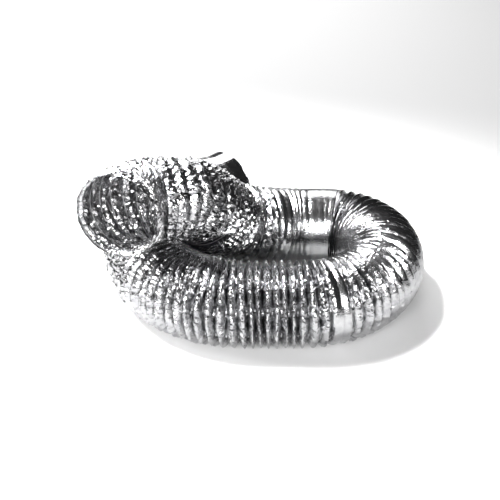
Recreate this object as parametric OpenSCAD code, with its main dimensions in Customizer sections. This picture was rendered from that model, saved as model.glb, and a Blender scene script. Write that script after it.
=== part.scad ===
/* [Foil wall] */
// Inside radius of the inner foil ply, an easy slide over a 125 mm spigot
inner_r = 63.2; // [40:0.1:160]
// Thickness of each foil ply as a plain solid skin, crests and folds included
ply = 0.5; // [0.3:0.1:1.5]
// Gap left between the inner ply and the wire, and between the wire and the outer ply
wire_clear = 0.05; // [0.02:0.01:0.3]

/* [Spring wire] */
// Diameter of the steel wire
wire_d = 1.0; // [0.6:0.1:2]
// Spacing of the wire turns in the pushed-together duct
pitch = 12.5; // [8:0.5:30]

/* [End collar] */
// Outside radius of the plain metal collar, pushed inside the duct end
collar_r = 63.1; // [40:0.1:160]
// Wall of the collar
collar_wall = 0.5; // [0.3:0.1:1.5]
// How far the collar sits inside the duct
collar_in = 22; // [10:1:60]
// How far the collar stands out of the duct
collar_out = 40; // [20:1:80]
// Width of the foil tape that holds the duct on the collar, half on each
tape_w = 24; // [12:1:60]
// Thickness of the foil tape
tape_t = 0.3; // [0.1:0.1:0.6]

/* [Moving folds] */
// Length of the folds that turn the mouth from side to side
turn_len = 52; // [30:1:60]
// Length of the folds that stretch behind the mouth
mouth_stretch_len = 56; // [30:1:60]
// Length of the folds that stretch in the front run
front_stretch_len = 68; // [30:1:72]
// Length of the folds that stretch at the far end
far_stretch_len = 62; // [30:1:70]

/* [Hidden] */
$fn = 96;

// radii of the layers, from the bore outwards
inner_out_r = inner_r + ply;
wire_r = inner_out_r + wire_clear + wire_d / 2;
outer_in_r = wire_r + wire_d / 2 + wire_clear;
outer_r = outer_in_r + ply;

// height of the duct's centre line where it lies on the floor
lie_z = outer_r;

// The corners of the route, each [x, y, z, bend radius], from the open mouth to the collar.
// The duct lies in one loop and its mouth end rests on top of the left bend.
// The origin is on the floor, in the middle of the whole part.
corners = [
    [-210.5, -164.5, 204, 0],        // open mouth
    [-192.5, -106.5, 198.5, 76],     // mouth turns to the front left
    [-109.5, -82.5, 194, 88],        // over the left bend
    [-45.5, 18.5, 88, 95],           // foot of the riser
    [56.5, 50.5, lie_z, 115],        // start of the back run
    [207.5, 50.5, lie_z, 96],        // back of the right bend
    [207.5, -190.5, lie_z, 144],     // front of the right bend
    [-156.5, -190.5, lie_z, 170],    // left bend
    [-210.5, 43.5, lie_z, 90],       // behind the mouth
    [-85, 183, lie_z + 1, 0]         // end of the duct, where the collar starts
];

function unit(v) = v / norm(v);
function total(v, n) = n <= 0 ? 0 : v[n - 1] + total(v, n - 1);
function point(i) = [corners[i].x, corners[i].y, corners[i].z];
last = len(corners) - 1;

// direction of each straight between two corners, and how much the route turns at each corner
heading = [for (i = [0:last - 1]) unit(point(i + 1) - point(i))];
turn = [for (i = [0:last]) i == 0 || i == last ? 0 : acos(heading[i - 1] * heading[i])];
cut = [for (i = [0:last]) corners[i][3] * tan(turn[i] / 2)];
side = [for (i = [0:last]) i == 0 || i == last ? [0, 0, 1]
    : unit(heading[i] - heading[i - 1] * (heading[i] * heading[i - 1]))];

// piece 2i is the straight after corner i, piece 2i+1 the bend at corner i+1
pieces = 2 * last - 1;
function is_bend(k) = k % 2 == 1;
function piece_start(k) = is_bend(k)
    ? point((k + 1) / 2) - heading[(k - 1) / 2] * cut[(k + 1) / 2]
    : point(k / 2) + heading[k / 2] * cut[k / 2];
function bend_r(k) = corners[(k + 1) / 2][3];
function bend_turn(k) = turn[(k + 1) / 2];
function piece_len(k) = is_bend(k)
    ? bend_r(k) * bend_turn(k) * PI / 180
    : norm(point(k / 2 + 1) - point(k / 2)) - cut[k / 2] - cut[k / 2 + 1];
piece_lens = [for (k = [0:pieces - 1]) piece_len(k)];
starts = [for (k = [0:pieces]) total(piece_lens, k)];
duct_len = starts[pieces];

// where each length of duct begins and ends along the route
turn_lead = 4;                   // bend left stiff before the folds that turn the mouth
lift_tail = 6;                   // straight taken in by the folds that lift the mouth
far_lead = 20;                   // straight left stiff before the folds that stretch the far end
function middle(k) = (starts[k] + starts[k + 1]) / 2;
turn_from = starts[1] + turn_lead;
turn_to = turn_from + turn_len;
mouth_stretch_from = middle(4) - mouth_stretch_len / 2;
mouth_stretch_to = middle(4) + mouth_stretch_len / 2;
lift_from = starts[5];
lift_to = starts[6] + lift_tail;
front_stretch_from = middle(12) - front_stretch_len / 2;
front_stretch_to = middle(12) + front_stretch_len / 2;
swing_from = starts[15];
swing_to = starts[16];
far_stretch_from = starts[16] + far_lead;
far_stretch_to = far_stretch_from + far_stretch_len;
slit = 0.15;                     // half of the gap between a moving fold and its neighbour
hair = 0.025;                    // half of the hair gap between one drawn length and the next
least_len = 0.3;                 // a shorter straight or bent length than this is left out

// places a child whose +Z is the route's direction and whose -X points to the bend's inside
module at_frame(origin, z_dir, in_dir) {
    y_dir = cross(z_dir, -in_dir);
    multmatrix([
        [-in_dir.x, y_dir.x, z_dir.x, origin.x],
        [-in_dir.y, y_dir.y, z_dir.y, origin.y],
        [-in_dir.z, y_dir.z, z_dir.z, origin.z],
        [0, 0, 0, 1]
    ]) children();
}

function any_side(v) = unit(cross(v, abs(v.z) > 0.9 ? [1, 0, 0] : [0, 0, 1]));

// one straight or bent tube, from a to b along piece k
module tube_piece(k, a, b, r_out, r_in) {
    if (is_bend(k)) {
        i = (k + 1) / 2;
        r = bend_r(k);
        centre = piece_start(k) + side[i] * r;
        axis = cross(heading[i - 1], side[i]);
        multmatrix([
            [-side[i].x, heading[i - 1].x, axis.x, centre.x],
            [-side[i].y, heading[i - 1].y, axis.y, centre.y],
            [-side[i].z, heading[i - 1].z, axis.z, centre.z],
            [0, 0, 0, 1]
        ])
            rotate([0, 0, a / r * 180 / PI])
                rotate_extrude(angle = (b - a) / r * 180 / PI)
                    translate([r, 0]) difference() {
                        circle(r_out);
                        circle(r_in);
                    }
    } else {
        d = heading[k / 2];
        at_frame(piece_start(k) + d * a, d, any_side(d)) difference() {
            cylinder(h = b - a, r = r_out);
            translate([0, 0, -1]) cylinder(h = b - a + 2, r = r_in);
        }
    }
}

// a bend is drawn as equal lengths, so that each is simple enough to give true collision shapes
most_turn = 30;                  // degrees
function parts_of(k) = is_bend(k) ? ceil(bend_turn(k) / most_turn) : 1;

// a length of tube along the whole route, from one distance to another, as straight and bent lengths
module tube(from, to, r_out, r_in) {
    for (k = [0:pieces - 1]) {
        share = piece_lens[k] / parts_of(k);
        for (j = [0:parts_of(k) - 1]) {
            a = max(from - starts[k], j * share + hair);
            b = min(to - starts[k], (j + 1) * share - hair);
            if (b - a > least_len) tube_piece(k, a, b, r_out, r_in);
        }
    }
}

module outer_ply(from, to) { color("silver") tube(from, to, outer_r, outer_in_r); }
module inner_ply(from, to) { color("gainsboro") tube(from, to, inner_out_r, inner_r); }

// places a child at a distance along the route, +Z forwards
module on_route(s) {
    k = max([for (j = [0:pieces - 1]) starts[j] <= s ? j : 0]);
    t = s - starts[k];
    if (is_bend(k)) {
        i = (k + 1) / 2;
        q = t / bend_r(k) * 180 / PI;
        d = heading[i - 1] * cos(q) + side[i] * sin(q);
        n = side[i] * cos(q) - heading[i - 1] * sin(q);
        at_frame(piece_start(k) + side[i] * bend_r(k) - n * bend_r(k), d, n) children();
    } else {
        d = heading[k / 2];
        at_frame(piece_start(k) + d * t, d, any_side(d)) children();
    }
}

// the wire turns between two distances, one ring for each turn of the helix
module wire_turns(from, to) {
    n = max(1, round((to - from) / pitch));
    color("slategray")
        for (i = [0:n - 1])
            on_route(from + (i + 0.5) * (to - from) / n)
                rotate_extrude($fn = 48) translate([wire_r, 0]) circle(d = wire_d, $fn = 16);
}

module mouth_end_outer_ply() { outer_ply(0, turn_from - slit); }
module mouth_end_inner_ply() { inner_ply(0, turn_from - slit); }
module mouth_end_wire_turns() { wire_turns(0, turn_from); }

module mouth_turning_folds_outer_ply() { outer_ply(turn_from + slit, turn_to - slit); }
module mouth_turning_folds_inner_ply() { inner_ply(turn_from + slit, turn_to - slit); }
module mouth_turning_folds_wire_turns() { wire_turns(turn_from, turn_to); }

module upper_run_outer_ply() { outer_ply(turn_to + slit, mouth_stretch_from - slit); }
module upper_run_inner_ply() { inner_ply(turn_to + slit, mouth_stretch_from - slit); }
module upper_run_wire_turns() { wire_turns(turn_to, mouth_stretch_from); }

module mouth_stretching_folds_outer_ply() { outer_ply(mouth_stretch_from + slit, mouth_stretch_to - slit); }
module mouth_stretching_folds_inner_ply() { inner_ply(mouth_stretch_from + slit, mouth_stretch_to - slit); }
module mouth_stretching_folds_wire_turns() { wire_turns(mouth_stretch_from, mouth_stretch_to); }

module riser_outer_ply() { outer_ply(mouth_stretch_to + slit, lift_from - slit); }
module riser_inner_ply() { inner_ply(mouth_stretch_to + slit, lift_from - slit); }
module riser_wire_turns() { wire_turns(mouth_stretch_to, lift_from); }

module lifting_folds_outer_ply() { outer_ply(lift_from + slit, lift_to - slit); }
module lifting_folds_inner_ply() { inner_ply(lift_from + slit, lift_to - slit); }
module lifting_folds_wire_turns() { wire_turns(lift_from, lift_to); }

module back_run_outer_ply() { outer_ply(lift_to + slit, starts[9]); }
module back_run_inner_ply() { inner_ply(lift_to + slit, starts[9]); }
module back_run_wire_turns() { wire_turns(lift_to, starts[9]); }

module right_bend_back_outer_ply() { outer_ply(starts[9], starts[11]); }
module right_bend_back_inner_ply() { inner_ply(starts[9], starts[11]); }
module right_bend_back_wire_turns() { wire_turns(starts[9], starts[11]); }

module right_bend_front_outer_ply() { outer_ply(starts[11], front_stretch_from - slit); }
module right_bend_front_inner_ply() { inner_ply(starts[11], front_stretch_from - slit); }
module right_bend_front_wire_turns() { wire_turns(starts[11], front_stretch_from); }

module front_stretching_folds_outer_ply() { outer_ply(front_stretch_from + slit, front_stretch_to - slit); }
module front_stretching_folds_inner_ply() { inner_ply(front_stretch_from + slit, front_stretch_to - slit); }
module front_stretching_folds_wire_turns() { wire_turns(front_stretch_from, front_stretch_to); }

module left_bend_outer_ply() { outer_ply(front_stretch_to + slit, starts[14]); }
module left_bend_inner_ply() { inner_ply(front_stretch_to + slit, starts[14]); }
module left_bend_wire_turns() { wire_turns(front_stretch_to, starts[14]); }

module left_run_outer_ply() { outer_ply(starts[14], swing_from - slit); }
module left_run_inner_ply() { inner_ply(starts[14], swing_from - slit); }
module left_run_wire_turns() { wire_turns(starts[14], swing_from); }

module swinging_folds_outer_ply() { outer_ply(swing_from + slit, swing_to - slit); }
module swinging_folds_inner_ply() { inner_ply(swing_from + slit, swing_to - slit); }
module swinging_folds_wire_turns() { wire_turns(swing_from, swing_to); }

module far_run_outer_ply() { outer_ply(swing_to + slit, far_stretch_from - slit); }
module far_run_inner_ply() { inner_ply(swing_to + slit, far_stretch_from - slit); }
module far_run_wire_turns() { wire_turns(swing_to, far_stretch_from); }

module far_stretching_folds_outer_ply() { outer_ply(far_stretch_from + slit, far_stretch_to - slit); }
module far_stretching_folds_inner_ply() { inner_ply(far_stretch_from + slit, far_stretch_to - slit); }
module far_stretching_folds_wire_turns() { wire_turns(far_stretch_from, far_stretch_to); }

module far_end_outer_ply() { outer_ply(far_stretch_to + slit, duct_len); }
module far_end_inner_ply() { inner_ply(far_stretch_to + slit, duct_len); }
module far_end_wire_turns() { wire_turns(far_stretch_to, duct_len); }

// a thin metal sleeve inside the duct's end, its free edge rolled over a little
lip = 0.6;                       // how far the free edge stands out
lip_len = 1.5;
module end_collar() {
    bore_r = collar_r - collar_wall;
    color("lightsteelblue") on_route(duct_len) rotate_extrude() polygon([
        [bore_r, -collar_in], [collar_r, -collar_in],
        [collar_r, collar_out - lip_len], [collar_r + lip, collar_out - lip_len],
        [collar_r + lip, collar_out], [bore_r, collar_out]
    ]);
}

// foil tape over the end of the outer ply and down onto the collar
tape_gap = 0.05;                 // glue line under the tape
tape_step = 4;                   // length over which the tape comes down from the ply to the collar
module collar_tape() {
    on_ply = outer_r + tape_gap;
    on_collar = collar_r + tape_gap;
    color("white") on_route(duct_len) rotate_extrude() polygon([
        [on_ply, -tape_w / 2], [on_ply + tape_t, -tape_w / 2],
        [on_ply + tape_t, tape_t], [on_collar + tape_t, tape_step],
        [on_collar + tape_t, tape_w / 2], [on_collar, tape_w / 2],
        [on_collar, tape_step - tape_t], [on_ply, tape_gap]
    ]);
}

mouth_end_outer_ply();
mouth_end_inner_ply();
mouth_end_wire_turns();
mouth_turning_folds_outer_ply();
mouth_turning_folds_inner_ply();
mouth_turning_folds_wire_turns();
upper_run_outer_ply();
upper_run_inner_ply();
upper_run_wire_turns();
mouth_stretching_folds_outer_ply();
mouth_stretching_folds_inner_ply();
mouth_stretching_folds_wire_turns();
riser_outer_ply();
riser_inner_ply();
riser_wire_turns();
lifting_folds_outer_ply();
lifting_folds_inner_ply();
lifting_folds_wire_turns();
back_run_outer_ply();
back_run_inner_ply();
back_run_wire_turns();
right_bend_back_outer_ply();
right_bend_back_inner_ply();
right_bend_back_wire_turns();
right_bend_front_outer_ply();
right_bend_front_inner_ply();
right_bend_front_wire_turns();
front_stretching_folds_outer_ply();
front_stretching_folds_inner_ply();
front_stretching_folds_wire_turns();
left_bend_outer_ply();
left_bend_inner_ply();
left_bend_wire_turns();
left_run_outer_ply();
left_run_inner_ply();
left_run_wire_turns();
swinging_folds_outer_ply();
swinging_folds_inner_ply();
swinging_folds_wire_turns();
far_run_outer_ply();
far_run_inner_ply();
far_run_wire_turns();
far_stretching_folds_outer_ply();
far_stretching_folds_inner_ply();
far_stretching_folds_wire_turns();
far_end_outer_ply();
far_end_inner_ply();
far_end_wire_turns();
end_collar();
collar_tape();
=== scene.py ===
import bpy
import math
import numpy as np
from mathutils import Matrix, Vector


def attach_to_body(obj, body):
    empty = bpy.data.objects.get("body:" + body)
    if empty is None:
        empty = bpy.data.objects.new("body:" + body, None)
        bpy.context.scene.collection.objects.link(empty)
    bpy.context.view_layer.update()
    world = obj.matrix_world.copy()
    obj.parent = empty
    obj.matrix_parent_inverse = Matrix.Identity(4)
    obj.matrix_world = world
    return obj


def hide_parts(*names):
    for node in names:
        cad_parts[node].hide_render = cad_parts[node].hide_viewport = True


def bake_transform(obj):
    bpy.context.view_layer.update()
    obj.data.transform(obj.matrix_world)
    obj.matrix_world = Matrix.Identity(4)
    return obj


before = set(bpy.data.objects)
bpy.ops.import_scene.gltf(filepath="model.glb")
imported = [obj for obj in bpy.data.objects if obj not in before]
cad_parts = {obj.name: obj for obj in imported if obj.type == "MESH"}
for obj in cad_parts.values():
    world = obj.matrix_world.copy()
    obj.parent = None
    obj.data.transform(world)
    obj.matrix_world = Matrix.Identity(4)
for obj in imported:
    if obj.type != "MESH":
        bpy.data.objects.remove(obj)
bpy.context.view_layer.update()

mm = 0.001
bpy.ops.object.select_all(action="DESELECT")

# the duct's route, with the same corners as part.scad: x, y, z and bend radius in mm
corners = [
    (-210.5, -164.5, 204, 0),      # open mouth
    (-192.5, -106.5, 198.5, 76),   # mouth turns to the front left
    (-109.5, -82.5, 194, 88),      # over the left bend
    (-45.5, 18.5, 88, 95),         # foot of the riser
    (56.5, 50.5, 65.3, 115),       # start of the back run
    (207.5, 50.5, 65.3, 96),       # back of the right bend
    (207.5, -190.5, 65.3, 144),    # front of the right bend
    (-156.5, -190.5, 65.3, 170),   # left bend
    (-210.5, 43.5, 65.3, 90),      # behind the mouth
    (-85, 183, 66.3, 0),           # end of the duct, where the collar starts
]


def makeRoute(corners):
    # straights and bends in turn, each as start point, heading, side, radius or 0, and length
    points = [np.array(c[:3], float) for c in corners]
    headings = [(b - a) / np.linalg.norm(b - a) for a, b in zip(points, points[1:])]
    cuts, sides, turns = [0.0], [None], [0.0]
    for i in range(1, len(points) - 1):
        turn = math.acos(headings[i - 1] @ headings[i])
        side = headings[i] - headings[i - 1] * (headings[i] @ headings[i - 1])
        cuts.append(corners[i][3] * math.tan(turn / 2))
        sides.append(side / np.linalg.norm(side))
        turns.append(turn)
    cuts.append(0.0)
    pieces = []
    for i, heading in enumerate(headings):
        length = np.linalg.norm(points[i + 1] - points[i]) - cuts[i] - cuts[i + 1]
        pieces.append((points[i] + heading * cuts[i], heading, np.zeros(3), 0.0, length))
        if i + 1 < len(headings):
            start = points[i + 1] - heading * cuts[i + 1]
            radius = corners[i + 1][3]
            pieces.append((start, heading, sides[i + 1], radius, radius * turns[i + 1]))
    return pieces


route = makeRoute(corners)
routeStarts = np.concatenate([[0], np.cumsum([p[4] for p in route])])
ductLength = routeStarts[-1]


def alongRoute(s):
    # point, heading and curvature vector for an array of distances in mm
    s = np.asarray(s, float)
    k = np.clip(np.searchsorted(routeStarts, s, side="right") - 1, 0, len(route) - 1)
    t = (s - routeStarts[k])[:, None]
    start = np.array([p[0] for p in route])[k]
    heading = np.array([p[1] for p in route])[k]
    side = np.array([p[2] for p in route])[k]
    radius = np.array([p[3] for p in route])[k][:, None]
    bent = radius > 0
    r = np.where(bent, radius, 1.0)
    q = t / r
    point = np.where(bent, start + heading * r * np.sin(q) + side * r * (1 - np.cos(q)), start + heading * t)
    tangent = np.where(bent, heading * np.cos(q) + side * np.sin(q), heading)
    inwards = np.where(bent, (side * np.cos(q) - heading * np.sin(q)) / r, 0.0)
    return point, tangent, inwards


def roundRoute(s, angle):
    # point, heading, curvature, and the direction straight out of the duct at this angle
    point, tangent, inwards = alongRoute(s)
    side = np.cross(tangent, [0, 0, 1.0])
    side /= np.linalg.norm(side, axis=1)[:, None]
    up = np.cross(side, tangent)
    out = side * np.cos(angle)[:, None] + up * np.sin(angle)[:, None]
    return point, tangent, inwards, out


# which stretch of the route holds each set of folds that opens
stretch = {"mouthTurn": 1, "mouthTube": 4, "riserFoot": 5, "frontRun": 12, "farRun": 16}


# aimAt and the distances are in mm, elevation is in degrees
camera = {"elevation": 31.5, "distance": 1315, "lens": 61.92, "sensor": 36.0,
          "aimAt": (-13.5, -190.5, 65.3), "aimBelowMiddle": 82.6, "nearest": 0.01}


def addCamera():
    tilt = math.radians(camera["elevation"])
    back = Vector((0, -math.cos(tilt), math.sin(tilt)))
    up = Vector((0, math.sin(tilt), math.cos(tilt)))
    place = Vector(camera["aimAt"]) + back * camera["distance"] + up * camera["aimBelowMiddle"]
    bpy.ops.object.camera_add(location=place * mm, rotation=(math.pi / 2 - tilt, 0, 0))
    cam = bpy.context.object
    cam.name = "camera"
    cam.data.lens = camera["lens"]
    cam.data.sensor_width = camera["sensor"]
    cam.data.clip_start = camera["nearest"]
    cam.data.dof.use_dof = False
    bpy.context.scene.camera = cam
    print("camera placed")


addCamera()

# lengths are in mm
foil = {
    "pitch": 12.5,            # wire turn spacing
    "ringsPerTurn": 8,        # mesh rings for each turn
    "around": 216,            # mesh points round the duct
    "crest": 66.2,            # radius over the wire
    "tips": 0.11,             # how far deep folds stand out past it, as a share of their depth
    "valleyPower": 1.5,       # above 1 the crests are rounded and the valleys are sharp
    "shadedValleyFrom": 0.6,        # the part of a fold's depth that gets painted valley shade
    "fullShadeDepth": 7,           # a fold this deep gets full painted shade in its valley
    "unevenTurns": (0.65, 1.25),   # least and most share of the fold depth that a turn has
    "stretchedDepth": 0.65,   # share of the fold depth left outside a tight bend
    "squeezedDepth": 1.3,     # and inside it
    "crumpleSize": 5.2,       # a crumple facet
    "fineSize": 2.6,          # a small crumple facet
    "fineShare": 0.65,        # height of the small facets beside the large ones
    "valleyCrumple": 0.45,    # share of the crumple that the valleys lose
    "innerCrumple": 0.25,     # share of crumple that the inner skin has more than the outer
    "bentCrumple": (0.45, 1.1),    # least and most share of the crumple left in a bend
    "slowWander": 55.0,       # length of the folds' slow wander
    "quickWander": 23.0,      # and of the quick one, which is half as large
    "endSlack": 0.8,          # how far the last ring may wander past the duct's end
    "warp": 0.55,             # how far the facets are pulled out of line, in facets
    "warpEvery": 17.0,
    "fineSlew": 1.3,          # how much more the small facets are pulled round the duct
    "creaseShadeSteep": 1.5,       # how fast the painted shade in a crease deepens below the level where it starts
    "creaseShadeFrom": 0.35,
    "creaseShadeCrumple": 1.2,     # crumple height from which creases get full painted shade
    "creaseShadeShare": 0.8,       # how strong the painted shade in a crease is beside the painted shade in a valley
    "plyGap": 0.75,           # between the outer skin and the inner skin
    "thickness": 0.22,        # of each skin
    "flatAngle": 12,          # degrees between facets that still shade as one
}
ripples = {"waves": 3, "slowest": 0.5, "fastest": 1.6, "latest": 6.28}
seeds = {"turns": 5, "slowWander": 11, "quickWander": 12, "warp": 21, "crumple": 31, "fineCrumple": 32}
# how the foil lies along the duct: distance, fold depth, crumple height, wander of the folds
foilState = [
    (0, 2.0, 1.7, 0.5),
    (14, 5.5, 2.1, 0.7),
    (170, 6.0, 2.1, 0.9),
    (250, 6.5, 2.1, 1.0),
    (325, 5.5, 1.8, 1.0),
    (362, 1.8, 0.35, 0.7),
    (428, 1.4, 0.15, 0.7),
    (436, 0.3, 0.08, 0.3),    # a pulled-out, smooth band
    (478, 0.3, 0.08, 0.3),
    (486, 8.0, 0.2, 0.6),     # fan of tight folds
    (560, 6.5, 0.25, 0.9),
    (700, 8.5, 0.55, 0.9),
    (777, 11.0, 1.1, 0.9),
    (783, 2.5, 0.1, 0.5),     # another smooth band
    (794, 2.5, 0.1, 0.5),
    (800, 12.0, 1.3, 0.9),
    (860, 13.0, 1.5, 0.8),
    (980, 13.0, 1.6, 0.8),
    (1050, 11.5, 1.7, 0.9),
    (1120, 10.0, 1.7, 0.9),
    (1200, 7.0, 1.2, 0.9),
    (1300, 4.5, 0.8, 0.8),
    (1380, 3.0, 0.6, 0.6),
    (1410, 0.8, 0.25, 0.2),
    (1432, 0.3, 0.12, 0.1),
]
# where the duct's weight presses it flat, in mm; distances are along the duct
resting = {
    "lyingFrom": 380,         # from here to the collar it lies on the floor
    "floorGap": 0.4,
    "mouthTubeTo": 200,       # the mouth tube lies on the left bend up to here
    "leftBend": (980, 1200),  # the part of the left bend near it
    "contactHeight": 131.0,
    "contactGap": 0.5,
    "innerStep": 0.5,         # the inner skin keeps this much further away
    "slideRoom": 69.5,        # radius kept free round the part of the mouth tube that stretches
    "deepestDent": 6,
}


def foilStateAt(s):
    state = np.array(foilState, float)
    return [np.interp(s, state[:, 0], state[:, i]) for i in (1, 2, 3)]


def facets(u, v, around, seed):
    # flat triangular facets with sharp edges: random heights on a skewed grid, joined by planes
    longest = 4096
    rng = np.random.default_rng(seed)
    heights = rng.uniform(-1, 1, (longest, around))
    u = u + v * 0.5
    i, j = np.floor(u).astype(int), np.floor(v).astype(int)
    a, b = u - i, v - j
    h = lambda di, dj: heights[(i + di) % longest, (j + dj) % around]
    low = (1 - a) * h(0, 0) + (a - b) * h(1, 0) + b * h(1, 1)
    high = (1 - b) * h(0, 0) + (b - a) * h(0, 1) + a * h(1, 1)
    return np.where(a > b, low, high)


def ripple(s, angle, seed, every, lobes):
    # smooth wandering noise along the duct, periodic round it
    rng = np.random.default_rng(seed)
    total = np.zeros_like(s)
    for lobe in lobes:
        for _ in range(ripples["waves"]):
            f = rng.uniform(ripples["slowest"], ripples["fastest"]) * 2 * math.pi / every
            wave = np.sin(s * f + lobe * angle + rng.uniform(0, ripples["latest"]))
            total += wave / (ripples["waves"] * len(lobes)) ** 0.5
    return total


def readPoints(mesh):
    points = np.empty(len(mesh.vertices) * 3)
    mesh.vertices.foreach_get("co", points)
    return points.reshape(-1, 3)


def writePoints(mesh, place):
    mesh.vertices.foreach_set("co", (place * mm).reshape(-1))
    mesh.update()


def foldShape(s, angle, depth, squeeze):
    # fold is 0 over the wire and 1 in the valley, and follows the wire's helix
    turn = s / foil["pitch"] + angle / (2 * math.pi)
    fold = (1 - np.abs(2 * (turn % 1.0) - 1)) ** foil["valleyPower"]
    # folds are shallow where a bend stretches them and deep where it squeezes them
    depth = depth * np.clip(squeeze ** -0.5, foil["stretchedDepth"], foil["squeezedDepth"])
    perTurn = np.random.default_rng(seeds["turns"]).uniform(*foil["unevenTurns"], 400)
    return fold, depth * perTurn[np.floor(turn).astype(int) % len(perTurn)]


def facetLayer(s, angle, size, pullAlong, pullRound, seed):
    around = int(round(2 * math.pi * foil["crest"] / size))
    return facets(s / size + pullAlong, angle / (2 * math.pi) * around + pullRound, around, seed)


def crumpleShape(s, angle, fold):
    # two sizes of crumple facet, and valleys that stay cleaner
    warp = foil["warp"] * ripple(s, angle, seeds["warp"], foil["warpEvery"], (2, 3, 5, 7))
    large = facetLayer(s, angle, foil["crumpleSize"], warp, warp, seeds["crumple"])
    fine = facetLayer(s, angle, foil["fineSize"], -warp, foil["fineSlew"] * warp, seeds["fineCrumple"])
    return (large + foil["fineShare"] * fine) * (1 - foil["valleyCrumple"] * fold)


def pressFlat(place, s, layer):
    step = layer * resting["innerStep"]
    contact = resting["contactHeight"]
    lying = s > resting["lyingFrom"]
    above = s < resting["mouthTubeTo"]
    below = (s > resting["leftBend"][0]) & (s < resting["leftBend"][1])
    z = place[:, 2]
    z = np.where(lying, np.maximum(z, resting["floorGap"] + step), z)
    z = np.where(above, np.maximum(z, contact + step), z)
    z = np.where(below, np.minimum(z, contact - resting["contactGap"] - step), z)
    place[:, 2] = z
    # the left bend is dented, so that the mouth tube can slide out over it
    slideFrom, slideAxis = route[stretch["mouthTube"]][:2]
    away = place - slideFrom
    away -= np.outer(away @ slideAxis, slideAxis)
    reach = np.linalg.norm(away, axis=1)
    room = resting["slideRoom"] + layer * foil["plyGap"]
    dent = np.where(below, np.clip(room - reach, 0, resting["deepestDent"]), 0)
    return place + away / reach[:, None] * dent[:, None]


def shapeFoil(tube, layer):
    # moves the points of a straight tube, standing on Z, onto the route as folded and crumpled foil
    mesh = tube.data
    standing = readPoints(mesh) / mm
    s = standing[:, 2].copy()
    angle = np.arctan2(standing[:, 1], standing[:, 0])
    depth, crumple, wander = foilStateAt(s)

    # the folds wander a little along the duct
    slow = ripple(s, angle, seeds["slowWander"], foil["slowWander"], (1, 2))
    quick = ripple(s, angle, seeds["quickWander"], foil["quickWander"], (1, 3, 5))
    along = s + (wander * slow + 0.5 * wander * quick)
    point, _, inwards, out = roundRoute(np.minimum(along, ductLength + foil["endSlack"]), angle)

    squeeze = 1 - foil["crest"] * np.einsum("ij,ij->i", out, inwards)
    fold, depth = foldShape(s, angle, depth, squeeze)
    crumple = crumple * np.clip(squeeze, *foil["bentCrumple"]) * (1.0 + foil["innerCrumple"] * layer)
    rough = crumpleShape(s, angle, fold)
    radius = foil["crest"] + foil["tips"] * depth - depth * fold + crumple * rough
    radius -= layer * foil["plyGap"]
    writePoints(mesh, pressFlat(point + out * radius[:, None], s, layer))

    # painted shade: how deep in a valley or a crease each point is, for the material to darken
    valleyShade = np.clip((fold - foil["shadedValleyFrom"]) / (1 - foil["shadedValleyFrom"]), 0, 1)
    valleyShade *= np.clip(depth / foil["fullShadeDepth"], 0, 1)
    paintedCreaseShade = np.clip(-foil["creaseShadeSteep"] * rough - foil["creaseShadeFrom"], 0, 1)
    paintedCreaseShade *= np.clip(crumple / foil["creaseShadeCrumple"], 0, 1)
    shade = mesh.attributes.new("paintedCreaseShade", "FLOAT", "POINT")
    paintedShade = np.clip(valleyShade + foil["creaseShadeShare"] * paintedCreaseShade, 0, 1)
    shade.data.foreach_set("value", paintedShade.astype(np.float32))
    mesh.update()


# scales are cells to the metre, and the tones are shares of the finish's own tint
metalGrain = {
    "facetScale": 420.0, "grainScale": 900.0, "grainDetail": 3.0, "grainShare": 0.35,
    "bumpHeight": 0.0012,
    "blotchScale": 60.0, "blotchDetail": 4.0, "blotchFrom": 0.32, "blotchTo": 0.62,
    "dullTone": 0.72, "dullBlue": 0.74, "brightBlue": 1.01,
    # colour of the painted shade in valleys and creases
    "paintedShadeTone": (0.07, 0.07, 0.075, 1),
}


def newMaterial(name):
    material = bpy.data.materials.new(name)
    material.use_nodes = True
    return material, material.node_tree.nodes, material.node_tree.links


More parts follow.
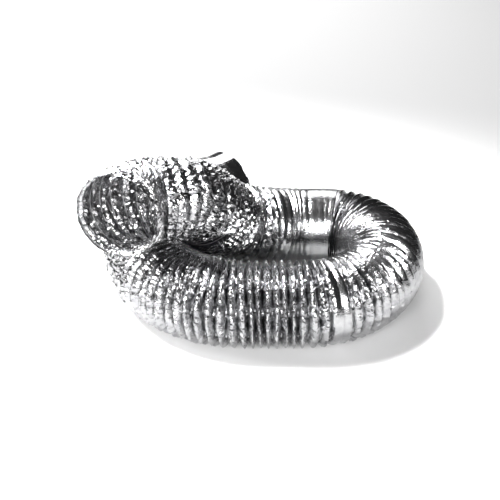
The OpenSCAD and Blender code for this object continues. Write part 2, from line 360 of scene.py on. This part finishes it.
def foilMaterial(name, tint, roughness, crinkle):
    material, nodes, links = newMaterial(name)
    shader = nodes["Principled BSDF"]
    shader.inputs["Metallic"].default_value = 1.0
    shader.inputs["Roughness"].default_value = roughness
    where = nodes.new("ShaderNodeTexCoord")

    # fine crinkle
    cells = nodes.new("ShaderNodeTexVoronoi")
    cells.inputs["Scale"].default_value = metalGrain["facetScale"]
    grain = nodes.new("ShaderNodeTexNoise")
    grain.inputs["Scale"].default_value = metalGrain["grainScale"]
    grain.inputs["Detail"].default_value = metalGrain["grainDetail"]
    links.new(where.outputs["Object"], cells.inputs["Vector"])
    links.new(where.outputs["Object"], grain.inputs["Vector"])
    both = nodes.new("ShaderNodeMath")
    both.operation = "MULTIPLY_ADD"
    both.inputs[1].default_value = metalGrain["grainShare"]
    links.new(grain.outputs["Fac"], both.inputs[0])
    links.new(cells.outputs["Distance"], both.inputs[2])
    bump = nodes.new("ShaderNodeBump")
    bump.inputs["Strength"].default_value = crinkle
    bump.inputs["Distance"].default_value = metalGrain["bumpHeight"]
    links.new(both.outputs["Value"], bump.inputs["Height"])
    links.new(bump.outputs["Normal"], shader.inputs["Normal"])

    # handled metal is a little blotchy
    dull, dullBlue = tint * metalGrain["dullTone"], tint * metalGrain["dullBlue"]
    tone = nodes.new("ShaderNodeValToRGB")
    tone.color_ramp.elements[0].color = (dull, dull, dullBlue, 1)
    tone.color_ramp.elements[1].color = (tint, tint, tint * metalGrain["brightBlue"], 1)
    tone.color_ramp.elements[0].position = metalGrain["blotchFrom"]
    tone.color_ramp.elements[1].position = metalGrain["blotchTo"]
    blotch = nodes.new("ShaderNodeTexNoise")
    blotch.inputs["Scale"].default_value = metalGrain["blotchScale"]
    blotch.inputs["Detail"].default_value = metalGrain["blotchDetail"]
    links.new(where.outputs["Object"], blotch.inputs["Vector"])
    links.new(blotch.outputs["Fac"], tone.inputs["Fac"])

    # painted shade: creases and valleys are darkened in the base colour, standing in for the foil there only
    # mirroring itself
    paintedCreaseShade = nodes.new("ShaderNodeAttribute")
    paintedCreaseShade.attribute_name = "paintedCreaseShade"
    paintedShade = nodes.new("ShaderNodeMix")
    paintedShade.data_type = "RGBA"
    paintedShade.inputs["B"].default_value = metalGrain["paintedShadeTone"]
    links.new(paintedCreaseShade.outputs["Fac"], paintedShade.inputs["Factor"])
    links.new(tone.outputs["Color"], paintedShade.inputs["A"])
    links.new(paintedShade.outputs["Result"], shader.inputs["Base Color"])
    return material


# name, tint, roughness, crinkle
outerFoil = foilMaterial("outerFoil", 0.50, 0.22, 0.2)
innerFoil = foilMaterial("innerFoil", 0.62, 0.24, 0.2)
springWire = foilMaterial("springWire", 0.42, 0.38, 0.1)
collarMetal = foilMaterial("collarMetal", 0.70, 0.14, 0.03)
tapeFoil = foilMaterial("tapeFoil", 0.72, 0.22, 0.08)

# name of each length of duct, where it ends, the bodies it joins, and the CAD nodes that it stands for
lengths = [
    ("mouth", 175, ("mouth_end", "upper_run"), ("mouth_end", "mouth_turning_folds", "upper_run")),
    ("overTheBend", 249, ("upper_run", "riser"), ("mouth_stretching_folds", "upper_run", "riser")),
    ("riser", 395, ("riser", "right_half"), ("riser", "lifting_folds", "back_run")),
    ("rightBend", 700, ("right_half",), ("back_run", "right_bend_back", "right_bend_front")),
    ("frontRun", 1050, ("right_half", "left_half"),
     ("right_bend_front", "front_stretching_folds", "left_bend")),
    ("leftBend", 1309, ("left_half", "far_run"), ("left_bend", "left_run", "swinging_folds", "far_run")),
    ("farEnd", ductLength, ("far_run", "far_end"), ("far_run", "far_stretching_folds", "far_end")),
]


def attach(piece, bodies):
    if len(bodies) == 2:
        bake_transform(piece)
    else:
        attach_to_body(piece, bodies[0])


def cadNodes(groups, layer):
    return [g + "_" + layer for g in groups if g + "_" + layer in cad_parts]


def applyModifiers(piece):
    bpy.context.view_layer.objects.active = piece
    for modifier in list(piece.modifiers):
        bpy.ops.object.modifier_apply(modifier=modifier.name)


def sweepUp(piece, height, steps):
    # draws an open outline straight up Z
    sweep = piece.modifiers.new("sweep", "SCREW")
    sweep.axis = "Z"
    sweep.angle = 0
    sweep.screw_offset = height
    sweep.steps = steps
    sweep.render_steps = steps
    applyModifiers(piece)


def straightTube(name, fromS, toS):
    # a tube standing on Z whose height is the distance along the duct
    rings = max(2, int(round((toS - fromS) / (foil["pitch"] / foil["ringsPerTurn"]))))
    bpy.ops.mesh.primitive_circle_add(vertices=foil["around"], radius=foil["crest"] * mm,
                                      fill_type="NOTHING", location=(0, 0, fromS * mm))
    tube = bpy.context.object
    tube.name = name
    bpy.ops.object.transform_apply(location=True, rotation=True, scale=True)
    sweepUp(tube, (toS - fromS) * mm, rings)
    return tube


def makeSkin(name, layer, fromS, toS, material):
    skin = straightTube(name, fromS, toS)
    shapeFoil(skin, layer)
    bpy.ops.object.mode_set(mode="EDIT")
    bpy.ops.mesh.select_all(action="SELECT")
    bpy.ops.mesh.quads_convert_to_tris(quad_method="SHORTEST_DIAGONAL")
    bpy.ops.mesh.normals_make_consistent(inside=False)
    bpy.ops.object.mode_set(mode="OBJECT")
    wall = skin.modifiers.new("wall", "SOLIDIFY")
    wall.thickness = foil["thickness"] * mm
    wall.offset = -1
    applyModifiers(skin)
    bpy.ops.object.shade_smooth_by_angle(angle=math.radians(foil["flatAngle"]))
    skin.data.materials.clear()
    skin.data.materials.append(material)
    bpy.ops.object.select_all(action="DESELECT")
    return skin


# endGap is left at each seam, and lowest is the wire's least height where the duct lies down
wire = {"diameter": 1.0, "radius": 64.25, "stepsPerTurn": 48, "sides": 6, "endGap": 0.8, "lowest": 1.2}


def makeWire(name, fromS, toS):
    # one helix of round wire along this length of duct
    bpy.ops.mesh.primitive_circle_add(vertices=wire["sides"], radius=wire["diameter"] / 2 * mm,
                                      fill_type="NOTHING")
    coil = bpy.context.object
    coil.name = name
    sweepUp(coil, 1.0, int((toS - fromS) / foil["pitch"] * wire["stepsPerTurn"]))
    mesh = coil.data
    standing = readPoints(mesh)
    gap = wire["endGap"]
    s = fromS + gap + standing[:, 2] * (toS - fromS - 2 * gap)
    # the wire sits under the crests, where the fold's turn is a whole number
    angle = -2 * math.pi * s / foil["pitch"]
    point, tangent, _, out = roundRoute(s, angle)
    place = point + out * (wire["radius"] + standing[:, 0] / mm)[:, None]
    place += tangent * (standing[:, 1] / mm)[:, None]
    lying = s > resting["lyingFrom"]
    place[:, 2] = np.where(lying, np.maximum(place[:, 2], wire["lowest"]), place[:, 2])
    writePoints(mesh, place)
    bpy.ops.object.mode_set(mode="EDIT")
    bpy.ops.mesh.select_all(action="DESELECT")
    bpy.ops.mesh.select_mode(type="EDGE")
    bpy.ops.mesh.select_non_manifold()
    bpy.ops.mesh.edge_face_add()                      # closes both ends
    bpy.ops.mesh.select_all(action="SELECT")
    bpy.ops.mesh.normals_make_consistent(inside=False)
    bpy.ops.object.mode_set(mode="OBJECT")
    bpy.ops.object.shade_smooth()
    mesh.materials.clear()
    mesh.materials.append(springWire)
    bpy.ops.object.select_all(action="DESELECT")
    return coil


def makeLengths():
    fromS = 0
    for name, toS, bodies, groups in lengths:
        outer = makeSkin(name + "OuterPly", 0, fromS, toS, outerFoil)
        attach(outer, bodies)
        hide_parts(*cadNodes(groups, "outer_ply"))
        inner = makeSkin(name + "InnerPly", 1, fromS, toS, innerFoil)
        attach(inner, bodies)
        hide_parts(*cadNodes(groups, "inner_ply"))
        coil = makeWire(name + "Wire", fromS, toS)
        attach(coil, bodies)
        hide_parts(*cadNodes(groups, "wire_turns"))
        fromS = toS
        print(name, "made,", len(outer.data.polygons), "faces a skin")


makeLengths()

# the collar and its tape keep their CAD shapes
for nodeName, material in (("end_collar", collarMetal), ("collar_tape", tapeFoil)):
    node = bpy.data.objects[nodeName]
    node.data.materials.clear()
    node.data.materials.append(material)
print("collar and tape finished")

# places and sizes in metres, power in watts, spread in degrees
stage = {"floorSize": 9.0, "floorTone": 0.88, "floorRoughness": 0.7,
         "airTone": (0.75, 0.76, 0.78, 1), "airStrength": 0.03}
lights = {
    "backLight": {"place": (-0.5, 2.4, 1.8), "aim": (0, 0, 0), "size": (2.4, 1.3), "power": 62,
                  "spread": 180},
    "overheadLight": {"place": (-1.1, 0.3, 2.0), "aim": (-0.25, -0.1, 0.15), "size": (1.0, 0.7), "power": 18,
                      "spread": 30},
    "leftLight": {"place": (-2.6, -0.2, 1.5), "aim": (0, 0, 0.1), "size": (0.5, 1.2), "power": 38,
                  "spread": 180},
    "frontLight": {"place": (-0.6, -2.3, 1.7), "aim": (0, -0.1, 0.1), "size": (1.0, 0.4), "power": 30,
                   "spread": 180},
    "mouthLight": {"place": (0.5, -2.6, 1.2), "aim": (-0.15, -0.1, 0.2), "size": (0.9, 0.6), "power": 60,
                   "spread": 180},
}


def addFloor():
    bpy.ops.mesh.primitive_plane_add(size=stage["floorSize"], location=(0, 0, 0))
    floor = bpy.context.object
    floor.name = "floor"
    material, nodes, _ = newMaterial("paleFloor")
    tone = stage["floorTone"]
    nodes["Principled BSDF"].inputs["Base Color"].default_value = (tone, tone, tone, 1)
    nodes["Principled BSDF"].inputs["Roughness"].default_value = stage["floorRoughness"]
    floor.data.materials.append(material)
    print("floor laid")


def addSoftLights():
    for name, light in lights.items():
        bpy.ops.object.light_add(type="AREA", location=light["place"])
        lamp = bpy.context.object
        lamp.name = name
        lamp.data.shape = "RECTANGLE"
        lamp.data.size, lamp.data.size_y = light["size"]
        lamp.data.energy = light["power"]
        lamp.data.spread = math.radians(light["spread"])
        look = Vector(light["aim"]) - Vector(light["place"])
        lamp.rotation_euler = look.to_track_quat("-Z", "Y").to_euler()
    world = bpy.data.worlds.new("studio")
    bpy.context.scene.world = world
    world.use_nodes = True
    air = world.node_tree.nodes["Background"]
    air.inputs["Color"].default_value = stage["airTone"]
    air.inputs["Strength"].default_value = stage["airStrength"]
    bpy.context.scene.view_settings.view_transform = "Standard"
    print("lights on")


addFloor()
addSoftLights()
